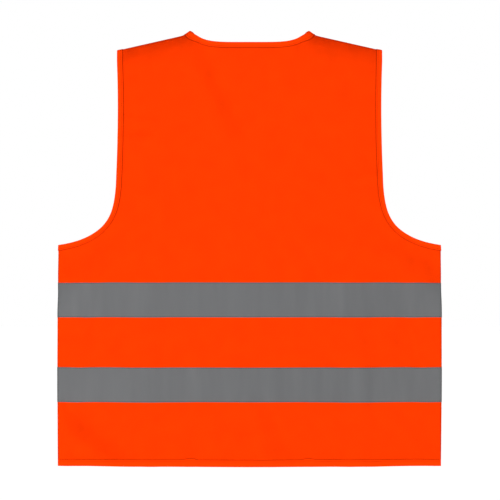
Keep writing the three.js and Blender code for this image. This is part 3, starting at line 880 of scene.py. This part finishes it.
MATERIALS = {
    # A painted glow, and painted shade along the shoulder line: the knit darkens within 45 mm of it.
    "orange_knit": woven(
        "orange_knit", ORANGE_DARK, ORANGE, (0.10, 0.0030, 0.0), (0.0011, 0.0013), 0.00030,
        painted_shades=[(1, 0.0, 0.045, 0.28)],
    ),
    # A painted glow, and painted shade at the binding's raw edge beside the cloth and at its fold.
    "orange_binding": woven(
        "orange_binding", PALE_ORANGE_DARK, PALE_ORANGE, (0.10, 0.0035, 0.0), (0.0009, 0.0009), 0.00016,
        diagonal=True, painted_shades=[(1, 0.0, 0.0012, 0.6), (1, BINDING_TURN, 0.0011, 0.6)],
    ),
    "grey_reflective_tape": reflective_material(),
    "hook_fastener": pile_material("hook_fastener", (0.80, 0.06, 0.006), 900, 0.0006),
    "loop_fastener": pile_material("loop_fastener", (0.90, 0.07, 0.008), 1400, 0.0004),
    "white_label": woven(
        "white_label", OFF_WHITE_DARK, OFF_WHITE, None, (0.0006, 0.0004), 0.00004, 0.5, 0.1
    ),
}
THREAD_ORANGE = thread_material("orange_thread", (0.74, 0.026, 0.0006), (0.86, 0.034, 0.001))
# Dark red thread for the seams, bindings and hems: real stitching, whose darkness also paints the shade
# along the binding edges, hems and side seams.
STITCH_AND_SHADE_THREAD = thread_material("dark_stitch_and_shade_thread", (0.17, 0.006, 0.0005), (0.24, 0.009, 0.0006), 0.1)
THREAD_WHITE = thread_material("white_thread", (0.8, 0.8, 0.78), (0.9, 0.9, 0.88))
# Near-black thread for the tapes: real stitching, whose darkness also paints the shadow along the tapes'
# edges and ends.
GREY_STITCH_AND_SHADOW_THREAD = thread_material("grey_stitch_and_shadow_thread", (0.035, 0.037, 0.040), (0.055, 0.058, 0.060))


# ---- Pieces ----

YOKE_DEPTH = 0.075  # below this the rows of the back's mesh are level
ROOT = "back_and_sides"
FLAPS = {"left": "left_front", "right": "right_front"}
SIGN = {"left": -1.0, "right": 1.0}


def finish_piece(piece, material, slot=None, front=None, body=ROOT, replaces=()):
    """Gives a piece its material and makes it move with one body; a piece on a front is left unattached,
    with its placement baked into its mesh.
    """
    piece.data.materials.append(material)
    if replaces:
        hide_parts(*replaces)
    if front:
        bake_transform(piece)
    else:
        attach(piece, body)


def finish_cloth(piece, slot, **rest):
    finish_piece(piece, MATERIALS[slot], slot, **rest)


def panel_grid(side, inner_edge, step=PANEL_STEP):
    """Pattern points of a panel from its middle edge to the armhole and side seam, shoulder line to hem.
    inner_edge gives the distance from the middle at a length down; the back starts at the middle."""
    cut = spaced(offset_line(ARMHOLE, EDGE_INSET), step)
    cut[0, 1] = START / 2
    heights = height_of(cut[:, 0], cut[:, 1])
    hem = HEM_Z + HEM_INSET
    below = np.linspace(heights[-1], hem, int((heights[-1] - hem) / step))[1:]
    half_widths = np.concatenate([cut[:, 0], np.full(len(below), HALF_CHEST)])
    half_widths[len(cut) - 1] = HALF_CHEST
    z = np.concatenate([heights, below])
    rolled = cut[:, 1] < ROLL_LENGTH
    levels = np.concatenate([np.where(rolled, cut[:, 1], np.nan), np.full(len(below), np.nan)])
    columns = int(HALF_CHEST / step)
    t = np.linspace(0, 1, columns + 1)
    x = np.zeros((len(z), len(t)))
    s = np.zeros_like(x)
    for i, (half, height, level) in enumerate(zip(half_widths, z, levels)):
        down = level if np.isfinite(level) else float(length_down_to(0.0, height))
        x[i] = inner_edge(down) + (half - inner_edge(down)) * t
        s[i] = level if np.isfinite(level) else length_down_to(x[i], height)
    return x, side * s, z


def make_back():
    x, s, z = panel_grid(1, lambda down: 0.0)
    # Columns inside the neck start at the neckline and catch up with the level rows below the yoke.
    neck = back_neckline(x[0], EDGE_INSET) * (x[0] < NECK_POINT + EDGE_INSET)
    yoke = int(np.searchsorted(-z, YOKE_DEPTH))
    end = s[yoke]
    s[:yoke] = neck + s[:yoke] * (end - neck) / end
    x = np.concatenate([-x[:, :0:-1], x], 1)
    s = np.concatenate([s[:, :0:-1], s], 1)
    panel = sheet_mesh("back_panel_cloth", x, s, -CLOTH_FACE, CLOTH_FACE)
    finish_cloth(panel, "orange_knit", replaces=["back_panel"])
    declare_sheet()


def make_front(name):
    sign = SIGN[name]
    x, s, _ = panel_grid(-1, lambda down: float(front_edge_at(down)) + EDGE_INSET)
    panel = sheet_mesh(f"{name}_front_cloth", sign * x, s, -CLOTH_FACE, CLOTH_FACE, name)
    nodes = [f"{name}_front_side_panel", f"{name}_front_flap"]
    finish_cloth(panel, "orange_knit", front=name, replaces=nodes)
    declare_sheet(rests_on=["back_panel_cloth"])


def make_tapes():
    for level, (low, high) in zip(("upper", "lower"), TAPE_LEVELS):
        inner, outer = CLOTH_FACE, CLOTH_FACE + TAPE
        x, s = level_grid(-HALF_CHEST, HALF_CHEST, high, low, 1)
        back = sheet_mesh(f"back_{level}_reflective_tape", x, s, inner, outer)
        finish_cloth(back, "grey_reflective_tape", replaces=[f"back_{level}_tape"])
        declare_sheet(rests_on=["back_panel_cloth"])
        for name, sign in SIGN.items():
            ends = sorted((sign * HALF_CHEST, -sign * (OVERLAP - BINDING_WIDTH / 2)))
            x, s = level_grid(*ends, high, low, -1)
            tape = sheet_mesh(f"{name}_{level}_reflective_tape", x, s, inner, outer, name)
            nodes = [f"{name}_{level}_side_tape", f"{name}_{level}_flap_tape"]
            finish_cloth(tape, "grey_reflective_tape", front=name, replaces=nodes)
            declare_sheet(rests_on=[f"{name}_front_cloth"])


def make_side_stitching():
    """The close rows along the side seams, over the cloth and over the tape ends. Their dark thread is
    partly real stitching and partly painted shade along the seams.
    """
    (upper_low, upper_high), (lower_low, lower_high) = TAPE_LEVELS
    on_cloth, on_tape = CLOTH_FACE + ON_TOP, CLOTH_FACE + TAPE + ON_TOP
    for name, sign in SIGN.items():
        x = sign * (HALF_CHEST - SIDE_STITCH_INSET)
        for label, side, front in (("back", 1, None), ("front", -1, name)):
            for row_name, top, bottom, out, thread in (
                (f"side_{label}_stitches_1", ARMPIT_Z - BINDING_WIDTH, upper_high, on_cloth, STITCH_AND_SHADE_THREAD),
                (f"side_{label}_stitches_2", upper_low, lower_high, on_cloth, STITCH_AND_SHADE_THREAD),
                (f"side_{label}_stitches_3", lower_low, HEM_Z + HEM_WIDTH, on_cloth, STITCH_AND_SHADE_THREAD),
                (f"upper_tape_end_{label}_stitches", upper_high, upper_low, on_tape, GREY_STITCH_AND_SHADOW_THREAD),
                (f"lower_tape_end_{label}_stitches", lower_high, lower_low, on_tape, GREY_STITCH_AND_SHADOW_THREAD),
            ):
                line = pattern_line((x, x), (top, bottom), side, 60)
                row = stitch_row(f"{name}_{row_name}", line, out, front, 1, CLOSE_PITCH, SIDE_THREAD)
                finish_piece(row, thread)


def make_tape_stitching():
    out, end = CLOTH_FACE + TAPE, HALF_CHEST - ROW_END
    for level, (low, high) in zip(("upper", "lower"), TAPE_LEVELS):
        for edge, z in (("top", high - TAPE_STITCH_INSET), ("bottom", low + TAPE_STITCH_INSET)):
            label = f"{level}_tape_{edge}_stitches"
            line = pattern_line((-end, end), (z, z), 1, 200)
            finish_piece(stitch_row(f"back_{label}", line, out, thread=TAPE_THREAD), GREY_STITCH_AND_SHADOW_THREAD)
            for name, sign in SIGN.items():
                line = pattern_line((sign * end, -sign * (OVERLAP - BINDING_WIDTH)), (z, z), -1, 120)
                row = stitch_row(f"{name}_{label}", line, out, name, thread=TAPE_THREAD)
                finish_piece(row, GREY_STITCH_AND_SHADOW_THREAD, front=name)


def front_edge_line(name):
    """Finished edge of a front on the pattern, with the cloth to its left."""
    lengths = np.linspace(START, float(length_down_to(0.0, HEM_Z + BINDING)), 400)
    line = np.stack([SIGN[name] * front_edge_at(lengths), -lengths], -1)
    return line if name == "right" else line[::-1]


def back_neck_line():
    """The back neckline on the pattern, with its points closer together at the steep ends."""
    angle = np.linspace(0, math.pi, 160)
    x = -NECK_POINT * np.sign(np.cos(angle)) * np.abs(np.cos(angle)) ** (1 / 3)
    return np.stack([x, np.maximum(back_neckline(x), START)], -1)


def armhole_line(name):
    """Finished armhole on the pattern, all the way round, with the cloth to its left."""
    half = ARMHOLE.copy()
    half[0, 1] = 0
    loop = np.concatenate([(half * (1, -1))[::-1], half[1:]])
    return loop if name == "right" else (loop * (-1, 1))[::-1]


# Rows of stitches: where, as a share of the width; height over the middle of the cloth; pitch; and thread.
# The first row lies on the cloth just past the binding's edge, and its dark thread paints the shade there.
BINDING_ROWS = (
    (1.04, CLOTH_FACE + ON_TOP, CLOSE_PITCH, EDGE_THREAD),
    (0.72, CLOTH_FACE + 0.92 * BINDING, STITCH_PITCH, THREAD),
)
HEM_ROWS = (
    (0.97, CLOTH_FACE + 0.9 * BINDING, STITCH_PITCH, THREAD),
    (0.74, CLOTH_FACE + 1.1 * BINDING, STITCH_PITCH, THREAD),
)


def bound_edge(name, edge, width, front, seed, replaces, blended=None, rows=BINDING_ROWS):
    """A binding with its rows of stitches, on the outside and on the inside."""
    made = folded_binding(name, edge, width, front, seed)
    finish_cloth(made, "orange_binding", front=blended, replaces=replaces)
    edge = spaced(edge, STEP)
    for k, (share, out, pitch, thread) in enumerate(rows):
        for label, side in (("outer", 1), ("inner", -1)):
            line = offset_line(edge, width * share)
            row = stitch_row(f"{name}_{label}_stitches_{k + 1}", line, out, front, side, pitch, thread)
            finish_piece(row, STITCH_AND_SHADE_THREAD, front=blended)


def make_bindings():
    width = BINDING_WIDTH
    bound_edge("back_neck_binding", back_neck_line(), width, None, 31, ["neck_binding"])
    for k, name in enumerate(SIGN):
        nodes = [f"{name}_front_edge_binding"]
        bound_edge(f"{name}_front_binding", front_edge_line(name), width, name, 41 + 5 * k, nodes, name)
        nodes = [f"{name}_armhole_binding"]
        bound_edge(f"{name}_arm_binding", armhole_line(name), width, name, 51 + 5 * k, nodes)


def make_hems():
    level = (HEM_Z, HEM_Z)
    edge = pattern_line((HALF_CHEST, -HALF_CHEST), level, 1, 200)
    bound_edge("back_hem", edge, HEM_WIDTH, None, 61, ["back_hem_binding"], rows=HEM_ROWS)
    for k, (name, sign) in enumerate(SIGN.items()):
        ends = sorted((sign * HALF_CHEST, -sign * (OVERLAP - BINDING)))
        edge = pattern_line(ends, level, -1, 120)
        nodes = [f"{name}_side_hem", f"{name}_flap_hem"]
        bound_edge(f"{name}_front_hem", edge, HEM_WIDTH, name, 71 + 5 * k, nodes, name, HEM_ROWS)


PATCH_STEP = 0.0012
CORNER = 0.0012  # how far the corners of a patch are drawn in
CORNER_POWER = 24
PATCH_STITCH_INSET = 0.0018
LABEL_STITCH_INSET = 0.0014


def make_patch(name, slot, node, side, faces, thread, cloth, front=None, inset=PATCH_STITCH_INSET):
    """A small flat piece where the CAD node lies, sewn down by a rectangle of stitches."""
    body = FLAPS.get(front, ROOT)
    low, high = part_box(node)
    x, s = level_grid(low.x, high.x, high.z, low.z, side, PATCH_STEP)
    u = (x - x.mean()) / (high.x - low.x) * 2
    v = (height_of(x, s) - (low.z + high.z) / 2) / (high.z - low.z) * 2
    x = x - np.sign(u) * CORNER * np.abs(v) ** CORNER_POWER * np.abs(u)
    piece = sheet_mesh(name, x, s, *faces, front)
    finish_piece(piece, MATERIALS[slot], slot, body=body, replaces=[node])
    left, right, bottom, top = low.x + inset, high.x - inset, low.z + inset, high.z - inset
    line = np.array([(left, bottom), (right, bottom), (right, top), (left, top), (left, bottom)])
    line[:, 1] = side * length_down_to(line[:, 0], line[:, 1])
    out, facing = max(abs(face) for face in faces), 1 if faces[1] > 0 else -1
    row = stitch_row(f"{name}_stitches", line, out, front, facing, 0.9 * STITCH)
    finish_piece(row, thread, body=body)
    declare_sheet([cloth], [row])


def make_fasteners():
    """Hooks on the left front's inside meet loops on the right front's outside."""
    for level in ("upper", "middle", "lower"):
        for kind, front, faces in (
            ("hook", "left", (-CLOTH_FACE - PATCH, -CLOTH_FACE)),
            ("loop", "right", (CLOTH_FACE, CLOTH_FACE + PATCH)),
        ):
            make_patch(f"{level}_{kind}_strip", f"{kind}_fastener", f"{level}_{kind}_patch", -1, faces,
                       THREAD_ORANGE, f"{front}_front_cloth", front)


def make_labels():
    faces = (-CLOTH_FACE - ON_TOP - LABEL, -CLOTH_FACE - ON_TOP)
    for kind in ("size", "care"):
        make_patch(f"{kind}_label_cloth", "white_label", f"{kind}_label", 1, faces, THREAD_WHITE,
                   "back_panel_cloth", inset=LABEL_STITCH_INSET)


SEAM_INSET = 0.0025  # from a side seam to the seam allowance's mesh
SHOULDER_ALLOWANCE = 0.005
OVERLOCK_WIDTH = 0.005
OVERLOCK_PITCH = 0.0024


def make_allowance(name, x, s, raw_edge, width):
    """A strip of the back's own cloth, turned in along a seam, with thread zigzagging over its raw edge."""
    inner, outer = -CLOTH_FACE - 2 * CLOTH, -CLOTH_FACE
    seam = sheet_mesh(f"{name}_allowance", x, s, inner, outer)
    finish_cloth(seam, "orange_knit", replaces=[name])
    line = spaced(raw_edge, OVERLOCK_PITCH / 2)
    zigzag = line + left_normals(line) * (np.arange(len(line)) % 2)[:, None] * width
    stitch = np.linalg.norm(np.diff(zigzag, axis=0), axis=1).mean()
    thread = stitch_row(f"{name}_overlock", zigzag, -inner, None, -1, stitch)
    finish_piece(thread, THREAD_ORANGE)


def make_seams():
    """Seam allowances pressed to the back on the inside."""
    for name, sign in SIGN.items():
        low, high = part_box(f"{name}_side_seam")
        raw = sign * min(abs(low.x), abs(high.x))
        x, s = level_grid(*sorted((raw, sign * (HALF_CHEST - SEAM_INSET))), high.z, low.z, 1)
        edge = pattern_line((raw, raw), (high.z, low.z), 1, 120)
        make_allowance(f"{name}_side_seam", x, s, edge, sign * OVERLOCK_WIDTH)

        low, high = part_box(f"{name}_shoulder_seam")
        half = SHOULDER_ALLOWANCE
        x, s = np.meshgrid(np.linspace(low.x, high.x, 30), np.linspace(-half, half, 7))
        edge = np.stack([np.linspace(low.x, high.x, 60), np.full(60, half)], -1)
        make_allowance(f"{name}_shoulder_seam", x, s, edge, -OVERLOCK_WIDTH)


make_back()
for front_name in SIGN:
    make_front(front_name)
make_tapes()
make_tape_stitching()
make_side_stitching()
make_bindings()
make_hems()
make_fasteners()
make_labels()
make_seams()


# ---- Stage, light and camera ----

FLOOR_DROP = 0.35  # below the hem, as the vest hangs
FLOOR_SIZE = 80
PICTURE_WIDTH = 0.7143
CAMERA_DISTANCE = 8.0
VIEW_CENTRE = (0.0006, -0.3126)


def make_stage():
    bpy.ops.mesh.primitive_plane_add(size=FLOOR_SIZE, location=(0, 0, HEM_Z - FLOOR_DROP))
    floor = bpy.context.object
    floor.name = "floor"
    material, _, shader, _ = new_material("pale_floor")
    set_inputs(shader, {
        "Base Color": (0.97, 0.97, 0.97, 1), "Roughness": 0.9,
        "Emission Color": (1, 1, 1, 1), "Emission Strength": 0.5,
    })
    floor.data.materials.append(material)


def add_area_light(name, location, size, power):
    light = bpy.data.lights.new(name, "AREA")
    light.shape = "SQUARE"
    light.size = size
    light.energy = power
    made = bpy.data.objects.new(name, light)
    made.location = location
    direction = Vector((0, 0, HEM_Z / 2)) - Vector(location)
    made.rotation_euler = direction.to_track_quat("-Z", "Y").to_euler()
    bpy.context.scene.collection.objects.link(made)


def make_light():
    world = bpy.data.worlds.new("studio")
    bpy.context.scene.world = world
    world.use_nodes = True
    nodes = Nodes(world.node_tree)
    # A white wall all round at eye level that dims towards the ceiling.
    split = nodes.add("ShaderNodeSeparateXYZ", Vector=nodes.add("ShaderNodeTexCoord").outputs["Generated"])
    level = nodes.fade(nodes.math("ABSOLUTE", split.outputs[2]), 0.15, 0.40, 1.0, 0.5)
    background = world.node_tree.nodes["Background"]
    world.node_tree.links.new(level, background.inputs["Strength"])
    set_inputs(background, {"Color": (1, 1, 1, 1)})
    add_area_light("key", (-1.9, -2.8, -0.75), 1.0, 44)
    add_area_light("fill", (1.7, -3.0, -0.6), 1.6, 22)
    add_area_light("front_key", (2.2, 2.8, 0.5), 1.4, 50)


def make_camera():
    camera = bpy.data.cameras.new("camera")
    camera.sensor_width = 36
    camera.lens = camera.sensor_width * CAMERA_DISTANCE / PICTURE_WIDTH
    camera.clip_end = 100
    made = bpy.data.objects.new("camera", camera)
    made.location = (VIEW_CENTRE[0], -CAMERA_DISTANCE, VIEW_CENTRE[1])
    made.rotation_euler = (math.pi / 2, 0, 0)
    bpy.context.scene.collection.objects.link(made)
    bpy.context.scene.camera = made


make_stage()
make_light()
make_camera()
bpy.context.scene.view_settings.view_transform = "Standard"
